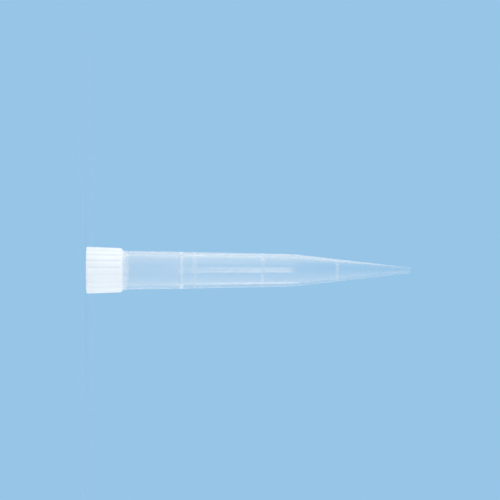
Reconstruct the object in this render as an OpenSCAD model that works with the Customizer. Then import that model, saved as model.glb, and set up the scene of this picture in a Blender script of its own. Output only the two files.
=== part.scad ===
// Pipette tip, 1000 microlitre size, injection moulded in one piece from natural polypropylene.
//
// The tip stands on its mouth: the mouth's rim lies in the plane z = 0, the bore runs up
// the Z axis, and the orifice is the highest point. All sizes are in millimetres.
// Every height is measured from the mouth's rim, and every d is a diameter.

/* [Outside lengths] */
// Overall length, from the mouth's rim to the orifice
tip_length = 71; // [60:0.5:90]
// Length of the ribbed collar
collar_length = 7.9; // [6:0.1:8.6]
// Length of the plain ring under the collar's shoulder
neck_length = 1.1; // [0.5:0.1:3]
// Height at which the slim body turns into the steep cone
waist_height = 45.4; // [40:0.2:52]

/* [Outside diameters] */
// Collar over its ribs, at the mouth
collar_mouth_d = 10.26; // [10.1:0.02:11]
// Collar over its ribs, at the shoulder
collar_shoulder_d = 9.7; // [9.6:0.02:10]
// Plain ring under the shoulder
neck_d = 8.6; // [8.5:0.02:8.9]
// Body where it leaves the neck ring
body_d = 8.44; // [8.3:0.02:8.5]
// Body level with the ledge inside
body_ledge_d = 8.12; // [7.9:0.02:8.3]
// Body at the waist, before the cone
waist_d = 7.1; // [6.9:0.02:7.6]
// Outside of the orifice
point_d = 1.22; // [1.1:0.02:1.5]
// Radius that softens the turn from body to cone
waist_round = 28; // [5:1:40]

/* [Collar] */
// Number of ribs around the collar
rib_count = 20; // [8:1:24]
// Width of the groove between two ribs
groove_width = 0.8; // [0.5:0.05:0.95]
// Depth of the groove between two ribs
groove_depth = 0.28; // [0.15:0.01:0.3]
// Angle of the first groove, from the X axis
groove_turn = 12; // [0:1:44]
// Rounding of the mouth's outer edge
rim_round = 0.22; // [0.1:0.02:0.3]
// Width of the bevel that ends the ribs at the shoulder
bevel_width = 0.31; // [0.3:0.01:0.36]
// Height of the bevel that ends the ribs at the shoulder
bevel_height = 0.4; // [0.2:0.05:0.8]

/* [Bore] */
// Socket at the mouth, past its lead-in
mouth_bore_d = 8.4; // [8.1:0.05:8.6]
// Width and height of the lead-in at the mouth
lead_in = 0.25; // [0.1:0.05:0.3]
// Straight land that seals on the pipette's nozzle
land_d = 7.4; // [7.25:0.02:7.6]
// Height at which the sealing land begins
land_height = 9; // [8.5:0.1:11]
// Length of the sealing land
land_length = 3; // [2:0.1:5]
// Socket where it meets the ledge
socket_end_d = 7.2; // [7:0.02:7.24]
// Height at which the ledge inside begins
ledge_height = 20.2; // [18:0.2:23]
// Height of the ledge's sloping face
ledge_rise = 0.9; // [0.4:0.1:1.6]
// Liquid chamber past the ledge
chamber_d = 6.8; // [6.5:0.02:6.9]
// Liquid chamber at the waist
chamber_end_d = 6.2; // [5.9:0.02:6.3]
// Inside of the orifice
orifice_d = 0.74; // [0.4:0.02:0.9]

/* [Ring marks] */
// Height of the ring at 1000 microlitres
ring_1000_height = 23.8; // [23.4:0.1:30]
// Height of the ring at 500 microlitres
ring_500_height = 38.6; // [34:0.1:40]
// Height of the ring at 100 microlitres
ring_100_height = 55; // [54:0.1:58]
// How far a ring stands out
ring_relief = 0.02; // [0.01:0.01:0.1]
// Width of a ring's top
ring_top = 0.3; // [0.1:0.05:0.45]
// Width of a ring at its foot
ring_foot = 0.7; // [0.5:0.05:0.9]

/* [Hidden] */
$fn = 96;

// Steps in a rounded edge, and in the long soft turn at the waist
edge_steps = 6;
waist_steps = 8;
// How deep an added shape sits in the wall that carries it, and how far a cut runs past it
sink = 0.1;
overrun = 1;

neck_end = collar_length + neck_length;
// The neck ring runs down to the body over a height of three times its step
neck_run_out = 3 * (neck_d - body_d) / 2;
land_end = land_height + land_length;

// Outer radius by height, as straight runs before any rounding
outer_runs = [
    [neck_end + neck_run_out, body_d / 2],
    [ledge_height, body_ledge_d / 2],
    [waist_height, waist_d / 2],
    [tip_length, point_d / 2]
];

function outer_r(z) = lookup(z, outer_runs);

// Slopes of the body and of the cone beside the waist, as angles from the axis
body_slope = atan2((body_ledge_d - waist_d) / 2, waist_height - ledge_height);
cone_slope = atan2((waist_d - point_d) / 2, tip_length - waist_height);
// Distance along each run from the waist's corner to where its arc begins
waist_reach = waist_round * tan((cone_slope - body_slope) / 2);

// Points on an arc about [r, z], from angle a0 to a1 from the radial direction
function arc(r, z, radius, a0, a1, steps) = [
    for (i = [0 : steps])
        let (a = a0 + (a1 - a0) * i / steps)
            [r + radius * cos(a), z + radius * sin(a)]
];

// The arc's centre lies square to the body's run, inside the wall
waist_arc_z = waist_height - waist_reach * cos(body_slope);
waist_arc_r = waist_d / 2 + waist_reach * sin(body_slope);
waist_points = arc(
    waist_arc_r - waist_round * cos(body_slope),
    waist_arc_z - waist_round * sin(body_slope),
    waist_round, body_slope, cone_slope, waist_steps
);

rim_points = arc(
    collar_mouth_d / 2 - rim_round, rim_round,
    rim_round, -90, 0, edge_steps
);

// Everything outside the bore, as one outline from the axis out and up
module outside_outline() {
    polygon(concat(
        [[0, 0]],
        rim_points,
        [
            [collar_shoulder_d / 2, collar_length - bevel_height],
            [collar_shoulder_d / 2 - bevel_width, collar_length],
            [neck_d / 2, collar_length],
            [neck_d / 2, neck_end],
            [body_d / 2, neck_end + neck_run_out],
            [body_ledge_d / 2, ledge_height]
        ],
        waist_points,
        [
            [point_d / 2, tip_length],
            [0, tip_length]
        ]
    ));
}

// The stepped bore, which runs past the tip at both ends
module bore_outline() {
    point_slope = (chamber_end_d - orifice_d) / 2 / (tip_length - waist_height);
    polygon([
        [0, -overrun],
        [mouth_bore_d / 2 + lead_in + overrun, -overrun],
        [mouth_bore_d / 2, lead_in],
        [land_d / 2, land_height],
        [land_d / 2, land_end],
        [socket_end_d / 2, ledge_height],
        [chamber_d / 2, ledge_height + ledge_rise],
        [chamber_end_d / 2, waist_height],
        [orifice_d / 2 - overrun * point_slope, tip_length + overrun],
        [0, tip_length + overrun]
    ]);
}

// Round-bottomed cuts that leave the ribs standing, open at the mouth and at the bevel
module rib_grooves() {
    cutter_r = (pow(groove_width / 2, 2) + pow(groove_depth, 2)) / (2 * groove_depth);
    taper = (collar_mouth_d - collar_shoulder_d) / 2;
    lean = atan2(taper, collar_length);
    cutter_length = collar_length / cos(lean) + 2 * overrun;
    for (i = [0 : rib_count - 1])
        rotate([0, 0, groove_turn + i * 360 / rib_count])
            translate([collar_mouth_d / 2 - groove_depth + cutter_r, 0, 0])
                rotate([0, -lean, 0])
                    translate([0, 0, -overrun])
                        cylinder(r = cutter_r, h = cutter_length);
}

// One low raised ring round the body, seated in the wall at its foot
module ring_mark(height) {
    foot_low = height - ring_foot / 2;
    top_low = height - ring_top / 2;
    top_high = height + ring_top / 2;
    foot_high = height + ring_foot / 2;
    rotate_extrude()
        polygon([
            [outer_r(foot_low) - sink, foot_low],
            [outer_r(foot_low), foot_low],
            [outer_r(top_low) + ring_relief, top_low],
            [outer_r(top_high) + ring_relief, top_high],
            [outer_r(foot_high), foot_high],
            [outer_r(foot_high) - sink, foot_high]
        ]);
}

module pipette_tip() {
    color([0.93, 0.96, 0.98, 0.8]) {
        difference() {
            rotate_extrude() outside_outline();
            rotate_extrude() bore_outline();
            rib_grooves();
        }
        for (height = [ring_1000_height, ring_500_height, ring_100_height])
            ring_mark(height);
    }
}

pipette_tip();
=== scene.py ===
import math

import bmesh
import bpy
from mathutils import Matrix, Vector


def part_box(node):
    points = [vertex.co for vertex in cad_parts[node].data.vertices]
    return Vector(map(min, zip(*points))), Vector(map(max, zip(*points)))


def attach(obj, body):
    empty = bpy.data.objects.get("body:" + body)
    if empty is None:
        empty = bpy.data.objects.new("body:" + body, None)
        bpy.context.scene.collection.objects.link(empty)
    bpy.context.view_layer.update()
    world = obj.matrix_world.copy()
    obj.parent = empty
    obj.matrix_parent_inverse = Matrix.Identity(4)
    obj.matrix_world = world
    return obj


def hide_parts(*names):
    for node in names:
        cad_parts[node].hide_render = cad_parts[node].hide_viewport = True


# A 1000 microlitre pipette tip of natural polypropylene, standing on its mouth. Lengths are in
# millimetres, and MM turns them to Blender's metres. Heights are measured from the mouth's rim.

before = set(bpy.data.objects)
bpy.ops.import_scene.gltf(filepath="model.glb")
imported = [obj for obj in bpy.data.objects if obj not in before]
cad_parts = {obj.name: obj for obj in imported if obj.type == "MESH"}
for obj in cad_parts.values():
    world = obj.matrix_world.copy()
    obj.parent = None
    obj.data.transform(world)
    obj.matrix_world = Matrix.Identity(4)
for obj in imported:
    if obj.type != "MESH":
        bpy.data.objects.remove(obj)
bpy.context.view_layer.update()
tip_low, tip_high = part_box("pipette_tip")
MM = 0.001

# Sizes of the moulding. A name that ends in R is a radius.
TIP_LENGTH = (tip_high.z - tip_low.z) / MM
COLLAR_MOUTH_R = tip_high.x / MM
COLLAR_SHOULDER_R = 4.85
COLLAR_LENGTH = 7.9
BEVEL_WIDTH = 0.31
BEVEL_HEIGHT = 0.4
RIB_COUNT = 20
GROOVE_WIDTH = 0.9
GROOVE_DEPTH = 0.28
FIRST_GROOVE = math.radians(12)
NECK_R = 4.3
NECK_LENGTH = 1.1
NECK_RUN_OUT = 0.24
BODY_R = 4.22
BODY_LEDGE_R = 4.06
WAIST_HEIGHT = 45.4
WAIST_R = 3.55
POINT_R = 0.61
SOCKET_MOUTH_R = 4.2
LEAD_IN = 0.25
LAND_R = 3.7
LAND_HEIGHT = 9.0
LAND_LENGTH = 3.0
SOCKET_END_R = 3.6
LEDGE_HEIGHT = 20.2
LEDGE_RISE = 0.9
CHAMBER_R = 3.4
CHAMBER_END_R = 3.1
ORIFICE_R = 0.37
RING_HEIGHTS = (23.8, 38.6, 55.0)
RING_RELIEF = 0.02
RING_TOP = 0.3
RING_FOOT = 0.7
RING_ROUNDING = 0.09
# Less than half of the wall at its thinnest, to tell the bore from the outside
HALF_WALL = 0.1

# Fineness of the mesh: steps round a rib's pitch and round an edge, which has fewer when its rounding is
# small, the longest row of faces, the narrow row beside each rounded edge, and how near two points merge
STEPS_PER_RIB = 14
SMALL_ROUNDING = 0.07
SMALL_ROUNDING_STEPS = 3
ROUNDING_STEPS = 6
LONGEST_ROW = 2.4
GUARD = 0.05
WELD = 0.0005


def linear(hex_colour):
    """An sRGB hex colour as linear RGBA."""
    channels = [int(hex_colour[i:i + 2], 16) / 255 for i in (1, 3, 5)]
    return [c / 12.92 if c <= 0.04045 else ((c + 0.055) / 1.055) ** 2.4 for c in channels] + [1.0]


# ---------------------------------------------------------------- the moulding

def outer_r(height):
    """The straight runs of the outer wall, without their rounding."""
    runs = [
        (COLLAR_LENGTH + NECK_LENGTH, BODY_R),
        (LEDGE_HEIGHT, BODY_LEDGE_R),
        (WAIST_HEIGHT, WAIST_R),
        (TIP_LENGTH, POINT_R),
    ]
    for (z0, r0), (z1, r1) in zip(runs, runs[1:]):
        if height <= z1:
            return r0 + (r1 - r0) * (height - z0) / (z1 - z0)
    return POINT_R


def ring_mark(height):
    """Corners of one low raised ring, with the rounding of each."""
    foot_low, foot_high = height - RING_FOOT / 2, height + RING_FOOT / 2
    top_low, top_high = height - RING_TOP / 2, height + RING_TOP / 2
    return [
        (outer_r(foot_low), foot_low, RING_ROUNDING),
        (outer_r(top_low) + RING_RELIEF, top_low, RING_ROUNDING),
        (outer_r(top_high) + RING_RELIEF, top_high, RING_ROUNDING),
        (outer_r(foot_high), foot_high, RING_ROUNDING),
    ]


def moulding_corners():
    """The half section's corners as radius, height and rounding, up the outside and down the bore."""
    neck_end = COLLAR_LENGTH + NECK_LENGTH
    outside = [
        (SOCKET_MOUTH_R + LEAD_IN, 0, 0.06),
        (COLLAR_MOUTH_R, 0, 0.22),
        (COLLAR_SHOULDER_R, COLLAR_LENGTH - BEVEL_HEIGHT, 0.1),
        (COLLAR_SHOULDER_R - BEVEL_WIDTH, COLLAR_LENGTH, 0.06),
        (NECK_R, COLLAR_LENGTH, 0.08),
        (NECK_R, neck_end, 0.1),
        (BODY_R, neck_end + NECK_RUN_OUT, 0.12),
        (BODY_LEDGE_R, LEDGE_HEIGHT, 0.6),
        *ring_mark(RING_HEIGHTS[0]),
        *ring_mark(RING_HEIGHTS[1]),
        (WAIST_R, WAIST_HEIGHT, 1.4),
        *ring_mark(RING_HEIGHTS[2]),
        (POINT_R, TIP_LENGTH, 0.05),
    ]
    bore = [
        (ORIFICE_R, TIP_LENGTH, 0.03),
        (CHAMBER_END_R, WAIST_HEIGHT, 1.2),
        (CHAMBER_R, LEDGE_HEIGHT + LEDGE_RISE, 0.15),
        (SOCKET_END_R, LEDGE_HEIGHT, 0.15),
        (LAND_R, LAND_HEIGHT + LAND_LENGTH, 0.3),
        (LAND_R, LAND_HEIGHT, 0.3),
        (SOCKET_MOUTH_R, LEAD_IN, 0.08),
    ]
    return outside + bore


def draw_section(bm, corners):
    """A closed chain of edges in the XZ plane, with each corner rounded."""
    verts = [bm.verts.new((r * MM, 0, z * MM)) for r, z, _ in corners]
    for a, b in zip(verts, verts[1:] + verts[:1]):
        bm.edges.new((a, b))
    for vert, (_, _, rounding) in zip(verts, corners):
        steps = SMALL_ROUNDING_STEPS if rounding < SMALL_ROUNDING else ROUNDING_STEPS
        bmesh.ops.bevel(
            bm, geom=[vert], offset=rounding * MM, offset_type="OFFSET",
            affect="VERTICES", segments=steps, profile=0.5, material=-1,
        )


def add_rows(bm):
    """Keeps the shading of a straight run straight, and its faces short enough to bake well."""
    for edge in list(bm.edges):
        length = edge.calc_length()
        if length < 4 * GUARD * MM:
            continue
        start, end = edge.verts
        _, near = bmesh.utils.edge_split(edge, start, GUARD * MM / length)
        rest = bm.edges.get((near, end))
        _, far = bmesh.utils.edge_split(rest, end, GUARD * MM / rest.calc_length())
        span = bm.edges.get((near, far))
        cuts = int(span.calc_length() / (LONGEST_ROW * MM))
        if cuts:
            bmesh.ops.subdivide_edges(bm, edges=[span], cuts=cuts)


def cut_grooves(bm):
    """Sinks the grooves between the ribs into the collar's outer wall, where they run out at the bevel."""
    pitch = 2 * math.pi / RIB_COUNT
    lean = (COLLAR_MOUTH_R - COLLAR_SHOULDER_R) / COLLAR_LENGTH
    for v in bm.verts:
        r, z = math.hypot(v.co.x, v.co.y) / MM, v.co.z / MM
        if z > COLLAR_LENGTH + GUARD or r < NECK_R + HALF_WALL:
            continue
        angle = math.atan2(v.co.y, v.co.x) - FIRST_GROOVE
        across = (angle + pitch / 2) % pitch - pitch / 2
        sideways = min(1.0, abs(across) * r / (GROOVE_WIDTH / 2))
        depth = GROOVE_DEPTH * (0.5 + 0.5 * math.cos(math.pi * sideways))
        floor_r = COLLAR_MOUTH_R - lean * z - depth
        if sideways < 1 and floor_r < r:
            v.co.x *= floor_r / r
            v.co.y *= floor_r / r


def surface_at(radius, height):
    """Which of the mould's surfaces made this spot of the wall."""
    if height < COLLAR_LENGTH + GUARD and radius > NECK_R:
        return "collar"
    inside_mouth = height < LAND_HEIGHT and radius < 0.5 * (NECK_R + SOCKET_MOUTH_R)
    if inside_mouth or radius < outer_r(height) - HALF_WALL:
        if height < LEDGE_HEIGHT:
            return "socket"
        return "ledge" if height < LEDGE_HEIGHT + LEDGE_RISE else "chamber"
    if height < COLLAR_LENGTH + NECK_LENGTH + NECK_RUN_OUT:
        return "neck"
    if any(abs(height - ring) < RING_FOOT / 2 for ring in RING_HEIGHTS):
        return "ring"
    return "body"


def make_moulding():
    """The half section spun through one rib's pitch, and that wedge repeated all the way round."""
    bm = bmesh.new()
    draw_section(bm, moulding_corners())
    add_rows(bm)
    bmesh.ops.spin(
        bm, geom=bm.verts[:] + bm.edges[:], cent=(0, 0, 0), axis=(0, 0, 1),
        angle=2 * math.pi / RIB_COUNT, steps=STEPS_PER_RIB, use_merge=False, use_duplicate=False,
    )
    bmesh.ops.spin(
        bm, geom=bm.verts[:] + bm.edges[:] + bm.faces[:], cent=(0, 0, 0), axis=(0, 0, 1),
        angle=2 * math.pi, steps=RIB_COUNT, use_merge=True, use_duplicate=True,
    )
    bmesh.ops.remove_doubles(bm, verts=bm.verts, dist=WELD * MM)
    cut_grooves(bm)
    bmesh.ops.recalc_face_normals(bm, faces=bm.faces)
    for face in bm.faces:
        centre = face.calc_center_median() / MM
        face.material_index = SURFACES.index(surface_at(math.hypot(centre.x, centre.y), centre.z))
    mesh = bpy.data.meshes.new("tip_moulding")
    bm.to_mesh(mesh)
    bm.free()
    mesh.shade_smooth()
    piece = bpy.data.objects.new("tip_moulding", mesh)
    bpy.context.scene.collection.objects.link(piece)
    return piece


# ---------------------------------------------------------------- the finish

def add_node(tree, kind, inputs, **settings):
    """Adds a node with its settings; each input takes a value, or a link from another node's socket."""
    node = tree.nodes.new(kind)
    for name, value in settings.items():
        setattr(node, name, value)
    for name, value in inputs.items():
        if isinstance(value, bpy.types.NodeSocket):
            tree.links.new(value, node.inputs[name])
        else:
            node.inputs[name].default_value = value
    return node


def new_material(name):
    """A material with an empty node tree."""
    material = bpy.data.materials.new(name)
    material.use_nodes = True
    material.node_tree.nodes.clear()
    return material, material.node_tree


# The moulding is all one material, uncoloured polypropylene, but each surface of the mould left its own
# skin. gloss is the roughness of the clear wall; sheen is how strongly its fine texture pales at a glancing
# view; milky is the share of light that the skin scatters, at the low and the high end of its stretch, and
# stretch gives their heights; grain is the size of its texture in mm and how deep that goes; lines is how
# deep the draw lines go, in mm.
NECK_END = COLLAR_LENGTH + NECK_LENGTH + NECK_RUN_OUT
CLEAREST = TIP_LENGTH - 8
SKINS = {
    # Satin cavity: pale edges and a soft sheen on a wall that is clear enough to show the bore
    "body": dict(finish="satin_moulded", gloss=0.15, sheen=0.5, milky=(0.06, 0.013),
                 stretch=(NECK_END, CLEAREST), grain=(0.6, 0.0008), lines=0.0012),
    # Spark-eroded cavity: white and matt, and nearly opaque
    "collar": dict(finish="spark_eroded", gloss=0.5, sheen=0.0, milky=(0.9, 0.9),
                   stretch=(0, COLLAR_LENGTH), grain=(0.4, 0.02), lines=0.0),
    # Thicker ring that cooled slowly, so it is cloudier than the body that it runs out into
    "neck": dict(finish="satin_moulded_thick", gloss=0.3, sheen=0.5, milky=(0.48, 0.0),
                 stretch=(COLLAR_LENGTH, NECK_END), grain=(0.6, 0.0008), lines=0.0006),
    # Engraved and left unpolished, so the rings show as faint pale bands
    "ring": dict(finish="engraved_mark", gloss=0.25, sheen=0.5, milky=(0.14, 0.1),
                 stretch=(0, TIP_LENGTH), grain=(0.4, 0.0), lines=0.0),
    # Blasted core pin: hazy, so no sharp reflection comes from the socket
    "socket": dict(finish="blasted_core", gloss=0.2, sheen=0.0, milky=(0.055, 0.055),
                   stretch=(0, LEDGE_HEIGHT), grain=(0.6, 0.0008), lines=0.0006),
    # The pin's turned shoulder: a pale line across the bore
    "ledge": dict(finish="turned_core", gloss=0.4, sheen=0.0, milky=(0.0, 0.34),
                  stretch=(LEDGE_HEIGHT, LEDGE_HEIGHT + LEDGE_RISE), grain=(0.3, 0.004), lines=0.0),
    # Polished core pin, so that no drop clings: long crisp reflections
    "chamber": dict(finish="polished_core", gloss=0.07, sheen=0.0, milky=(0.052, 0.013),
                    stretch=(LEDGE_HEIGHT, CLEAREST), grain=(0.8, 0.0005), lines=0.0008),
}
SURFACES = tuple(SKINS)
NATURAL = "#FDFEFF"
REFRACTION = 1.49
# Size of a cloudy patch, and width and length of a draw line, in mm
CLOUD = 5.0
LINE_WIDTH = 0.35
LINE_LENGTH = 14.0
# The range that a noise pattern mostly keeps to, and how far cloudiness and gloss vary with it
NOISE_LOW = 0.3
NOISE_HIGH = 0.7
CLOUD_SWING = 0.12
GLOSS_SWING = 0.15
# Light seeps through even the cloudiest wall, so the collar glows inside instead of turning grey
SEEP = 0.45


def per_mm(across, along):
    """The scale of a pattern whose marks are across mm wide and along mm long up the tip."""
    return (1 / (across * MM), 1 / (across * MM), 1 / (along * MM))


def polypropylene(finish, gloss, sheen, milky, stretch, grain, lines):
    """Natural polypropylene as one surface of the mould left it."""
    material, tree = new_material("natural_polypropylene_" + finish)
    place = add_node(tree, "ShaderNodeTexCoord", {}).outputs["Object"]
    height = add_node(tree, "ShaderNodeSeparateXYZ", {"Vector": place}).outputs["Z"]

    # Cloudiness: the haze fades towards the thin point, and comes and goes a little along the flow
    haze = add_node(tree, "ShaderNodeMapRange", {
        "Value": height, "From Min": stretch[0] * MM, "From Max": stretch[1] * MM,
        "To Min": milky[0], "To Max": milky[1],
    })
    flow = add_node(tree, "ShaderNodeMapping", {"Vector": place, "Scale": per_mm(CLOUD, 2 * CLOUD)})
    blobs = add_node(tree, "ShaderNodeTexNoise", {
        "Vector": flow.outputs["Vector"], "Scale": 1.0, "Detail": 2.0,
    })
    cloud = add_node(tree, "ShaderNodeMapRange", {
        "Value": blobs.outputs["Fac"], "From Min": NOISE_LOW, "From Max": NOISE_HIGH,
        "To Min": 1 - CLOUD_SWING, "To Max": 1 + CLOUD_SWING,
    })
    milk = add_node(tree, "ShaderNodeMath", {
        0: haze.outputs["Result"], 1: cloud.outputs["Result"],
    }, operation="MULTIPLY")
    clear = add_node(tree, "ShaderNodeMath", {
        0: 1.0, 1: milk.outputs["Value"],
    }, operation="SUBTRACT", use_clamp=True).outputs["Value"]

    # Draw lines that the ejection leaves up the wall, and the grain of the mould's own surface
    drawn = add_node(tree, "ShaderNodeMapping", {"Vector": place, "Scale": per_mm(LINE_WIDTH, LINE_LENGTH)})
    streaks = add_node(tree, "ShaderNodeTexNoise", {
        "Vector": drawn.outputs["Vector"], "Scale": 1.0, "Detail": 3.0,
    }).outputs["Fac"]
    wear = add_node(tree, "ShaderNodeMapRange", {
        "Value": streaks, "From Min": NOISE_LOW, "From Max": NOISE_HIGH,
        "To Min": (1 - GLOSS_SWING) * gloss, "To Max": (1 + GLOSS_SWING) * gloss,
    })
    grain_size, grain_depth = grain
    pitted = add_node(tree, "ShaderNodeMapping", {"Vector": place, "Scale": per_mm(grain_size, grain_size)})
    pits = add_node(tree, "ShaderNodeTexNoise", {
        "Vector": pitted.outputs["Vector"], "Scale": 1.0, "Detail": 2.0,
    })
    relief = add_node(tree, "ShaderNodeBump", {
        "Height": pits.outputs["Fac"], "Strength": 1.0, "Distance": grain_depth * MM,
    })
    relief = add_node(tree, "ShaderNodeBump", {
        "Height": streaks, "Normal": relief.outputs["Normal"], "Strength": 1.0, "Distance": lines * MM,
    })

    shell = add_node(tree, "ShaderNodeBsdfPrincipled", {
        "Base Color": linear(NATURAL), "IOR": REFRACTION, "Transmission Weight": clear,
        "Roughness": wear.outputs["Result"], "Normal": relief.outputs["Normal"],
        "Sheen Weight": sheen, "Sheen Roughness": 0.5,
    })

    # Scattered light and the lamps pass the clear share of the wall, or the share that seeps through, so the
    # haze behind it is lit too. A ray that was mirrored passes as well, which keeps the thin lines at the
    # edges smooth.
    rays = add_node(tree, "ShaderNodeLightPath", {})
    lighting = add_node(tree, "ShaderNodeMath", {
        0: rays.outputs["Is Shadow Ray"], 1: rays.outputs["Is Diffuse Ray"],
    }, operation="MAXIMUM")
    mirrored = add_node(tree, "ShaderNodeMath", {
        0: rays.outputs["Glossy Depth"], 1: 0.5,
    }, operation="GREATER_THAN")
    lighting = add_node(tree, "ShaderNodeMath", {
        0: lighting.outputs["Value"], 1: mirrored.outputs["Value"],
    }, operation="MAXIMUM")
    seeping = add_node(tree, "ShaderNodeMath", {0: clear, 1: SEEP}, operation="MAXIMUM")
    passing = add_node(tree, "ShaderNodeMath", {
        0: lighting.outputs["Value"], 1: seeping.outputs["Value"],
    }, operation="MULTIPLY")
    opening = add_node(tree, "ShaderNodeBsdfTransparent", {})
    wall = add_node(tree, "ShaderNodeMixShader", {
        0: passing.outputs["Value"], 1: shell.outputs["BSDF"], 2: opening.outputs["BSDF"],
    })
    add_node(tree, "ShaderNodeOutputMaterial", {"Surface": wall.outputs["Shader"]})
    return material


# ---------------------------------------------------------------- the set

BACKDROP = "#97C5E7"
SURROUND = "#EFF6FC"
FLOOR = "#9EC8E6"
FLOOR_BOUNCE = "#F4F8FC"
# In metres: how wide the floor is, between which radii it fades out, and how far it lies under the tip
FLOOR_RADIUS = 0.09
FADE_START = 0.03
FADE_END = 0.085
FLOOR_GAP = 0.00002


def pale_floor():
    """Blue to the eye and near white to the light that it throws back, and fading out at its edge."""
    material, tree = new_material("pale_blue_floor")
    place = add_node(tree, "ShaderNodeTexCoord", {}).outputs["Object"]
    away = add_node(tree, "ShaderNodeVectorMath", {0: place}, operation="LENGTH")
    fade = add_node(tree, "ShaderNodeMapRange", {
        "Value": away.outputs["Value"], "From Min": FADE_START, "From Max": FADE_END,
        "To Min": 0.0, "To Max": 1.0,
    }, interpolation_type="SMOOTHSTEP")
    rays = add_node(tree, "ShaderNodeLightPath", {})
    to_eye = add_node(tree, "ShaderNodeBsdfDiffuse", {"Color": linear(FLOOR)})
    to_tip = add_node(tree, "ShaderNodeBsdfDiffuse", {"Color": linear(FLOOR_BOUNCE)})
    lit = add_node(tree, "ShaderNodeMixShader", {
        0: rays.outputs["Is Diffuse Ray"], 1: to_eye.outputs["BSDF"], 2: to_tip.outputs["BSDF"],
    })
    edge = add_node(tree, "ShaderNodeBsdfTransparent", {})
    faded = add_node(tree, "ShaderNodeMixShader", {
        0: fade.outputs["Result"], 1: lit.outputs["Shader"], 2: edge.outputs["BSDF"],
    })
    add_node(tree, "ShaderNodeOutputMaterial", {"Surface": faded.outputs["Shader"]})
    return material


def make_floor():
    """A round floor just under the mouth, which takes the tip's shadow."""
    bm = bmesh.new()
    bmesh.ops.create_circle(bm, cap_ends=True, radius=FLOOR_RADIUS, segments=96)
    mesh = bpy.data.meshes.new("floor")
    bm.to_mesh(mesh)
    bm.free()
    floor = bpy.data.objects.new("floor", mesh)
    floor.location.z = tip_low.z - FLOOR_GAP
    bpy.context.scene.collection.objects.link(floor)
    mesh.materials.append(pale_floor())


def make_world():
    """An even pale surround lights the tip; the eye, and what mirrors or bends, sees the blue backdrop."""
    world = bpy.data.worlds.new("studio")
    bpy.context.scene.world = world
    world.use_nodes = True
    tree = world.node_tree
    tree.nodes.clear()
    rays = add_node(tree, "ShaderNodeLightPath", {})
    seen = add_node(tree, "ShaderNodeMath", {
        0: rays.outputs["Is Camera Ray"], 1: rays.outputs["Is Glossy Ray"],
    }, operation="MAXIMUM")
    seen = add_node(tree, "ShaderNodeMath", {
        0: seen.outputs["Value"], 1: rays.outputs["Is Transmission Ray"],
    }, operation="MAXIMUM")
    unscattered = add_node(tree, "ShaderNodeMath", {
        0: rays.outputs["Diffuse Depth"], 1: 0.5,
    }, operation="LESS_THAN")
    seen = add_node(tree, "ShaderNodeMath", {
        0: seen.outputs["Value"], 1: unscattered.outputs["Value"],
    }, operation="MULTIPLY")
    surround = add_node(tree, "ShaderNodeBackground", {"Color": linear(SURROUND), "Strength": 1.0})
    backdrop = add_node(tree, "ShaderNodeBackground", {"Color": linear(BACKDROP), "Strength": 1.0})
    mix = add_node(tree, "ShaderNodeMixShader", {
        0: seen.outputs["Value"], 1: surround.outputs["Background"], 2: backdrop.outputs["Background"],
    })
    add_node(tree, "ShaderNodeOutputWorld", {"Surface": mix.outputs["Shader"]})


# Panels aimed at the tip, one a line: its name, its angle from the front round towards -X, half its width
# in degrees, its brightness, its distance, its height above the floor's level and its length in metres, and
# whether it lights the haze and the ribs (matt) or shows as gloss on the walls. The cone mirrors what is
# higher up than the body does, so the near panels' gloss fades towards the point, and that of the front and
# low ones ends at the waist.
PANELS = (
    ("key", 88, 20, 1.85, 1.0, 0.05, 0.8, "matt"),
    ("below", -120, 20, 1.1, 1.0, 0.05, 0.8, "matt"),
    ("overhead", 72, 32, 1.0, 0.25, 0.037, 0.114, "gloss"),
    ("crest", 92, 12, 0.4, 0.25, 0.037, 0.114, "gloss"),
    ("back", 118, 14, 0.32, 0.25, 0.037, 0.114, "gloss"),
    ("rim", -150, 10, 0.07, 0.25, 0.037, 0.114, "gloss"),
    ("under", -90, 11, 0.42, 0.25, 0.037, 0.114, "gloss"),
    ("front_fill", 22, 18, 0.5, 0.25, 0.037, 0.114, "gloss"),
    ("front", 3, 16, 2.3, 0.6, 0.07, 0.076, "gloss"),
    ("front_low", -12, 5, 1.6, 0.6, 0.07, 0.076, "gloss"),
    ("low", -94, 6, 1.8, 0.6, 0.07, 0.076, "gloss"),
)
GLOSS_COLOUR = "#FFD59C"
MATT_COLOUR = "#FFF6E8"


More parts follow.
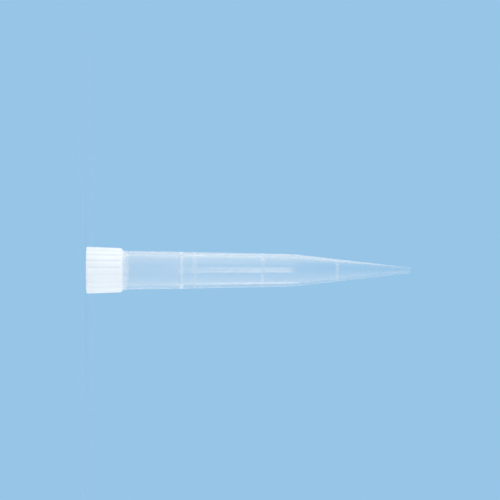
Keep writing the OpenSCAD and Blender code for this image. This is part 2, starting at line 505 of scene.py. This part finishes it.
def panel(name, angle, spread, brightness, distance, height, length, lights):
    """One softbox. Each is warm against the cool surround, so that what it lights reads as white."""
    light = bpy.data.lights.new(name, "AREA")
    light.shape = "RECTANGLE"
    light.size = 2 * distance * math.tan(math.radians(spread))
    light.size_y = length
    light.energy = brightness * math.pi * light.size * light.size_y
    light.color = linear(GLOSS_COLOUR if lights == "gloss" else MATT_COLOUR)[:3]
    if lights == "gloss":
        # Seen only once it has been mirrored, so it never glares straight through the clear wall
        light.use_nodes = True
        tree = light.node_tree
        tree.nodes.clear()
        rays = add_node(tree, "ShaderNodeLightPath", {})
        mirrored = add_node(tree, "ShaderNodeMath", {
            0: rays.outputs["Glossy Depth"], 1: 0.5,
        }, operation="GREATER_THAN")
        glow = add_node(tree, "ShaderNodeEmission", {"Strength": mirrored.outputs["Value"]})
        add_node(tree, "ShaderNodeOutputLight", {"Surface": glow.outputs["Emission"]})
    lamp = bpy.data.objects.new(name, light)
    turn = math.radians(angle)
    lamp.location = (-distance * math.sin(turn), -distance * math.cos(turn), height)
    lamp.rotation_euler = (math.pi / 2, 0, -turn)
    lamp.visible_diffuse = lights != "gloss"
    lamp.visible_glossy = lamp.visible_transmission = lights != "matt"
    bpy.context.scene.collection.objects.link(lamp)


# In metres: how far off the camera is, how much of the tip's plane it takes in, and where it points
CAMERA_DISTANCE = 1.2
VIEW_WIDTH = 0.1096
VIEW_X = -0.00443
VIEW_Z = 0.03585


def make_camera():
    """Square on to the tip through a long lens, rolled so that the tip lies across the picture."""
    camera = bpy.data.cameras.new("camera")
    camera.sensor_width = 36
    camera.lens = camera.sensor_width * CAMERA_DISTANCE / VIEW_WIDTH
    seat = bpy.data.objects.new("camera", camera)
    right, up, back = Vector((0, 0, 1)), Vector((-1, 0, 0)), Vector((0, -1, 0))
    turn = Matrix((right, up, back)).transposed().to_4x4()
    seat.matrix_world = Matrix.Translation((VIEW_X, -CAMERA_DISTANCE, VIEW_Z)) @ turn
    bpy.context.scene.collection.objects.link(seat)
    bpy.context.scene.camera = seat


tip = make_moulding()
for surface in SURFACES:
    tip.data.materials.append(polypropylene(**SKINS[surface]))
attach(tip, "root")
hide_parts("pipette_tip")
make_floor()
make_world()
for settings in PANELS:
    panel(*settings)
make_camera()
bpy.context.scene.view_settings.view_transform = "Standard"
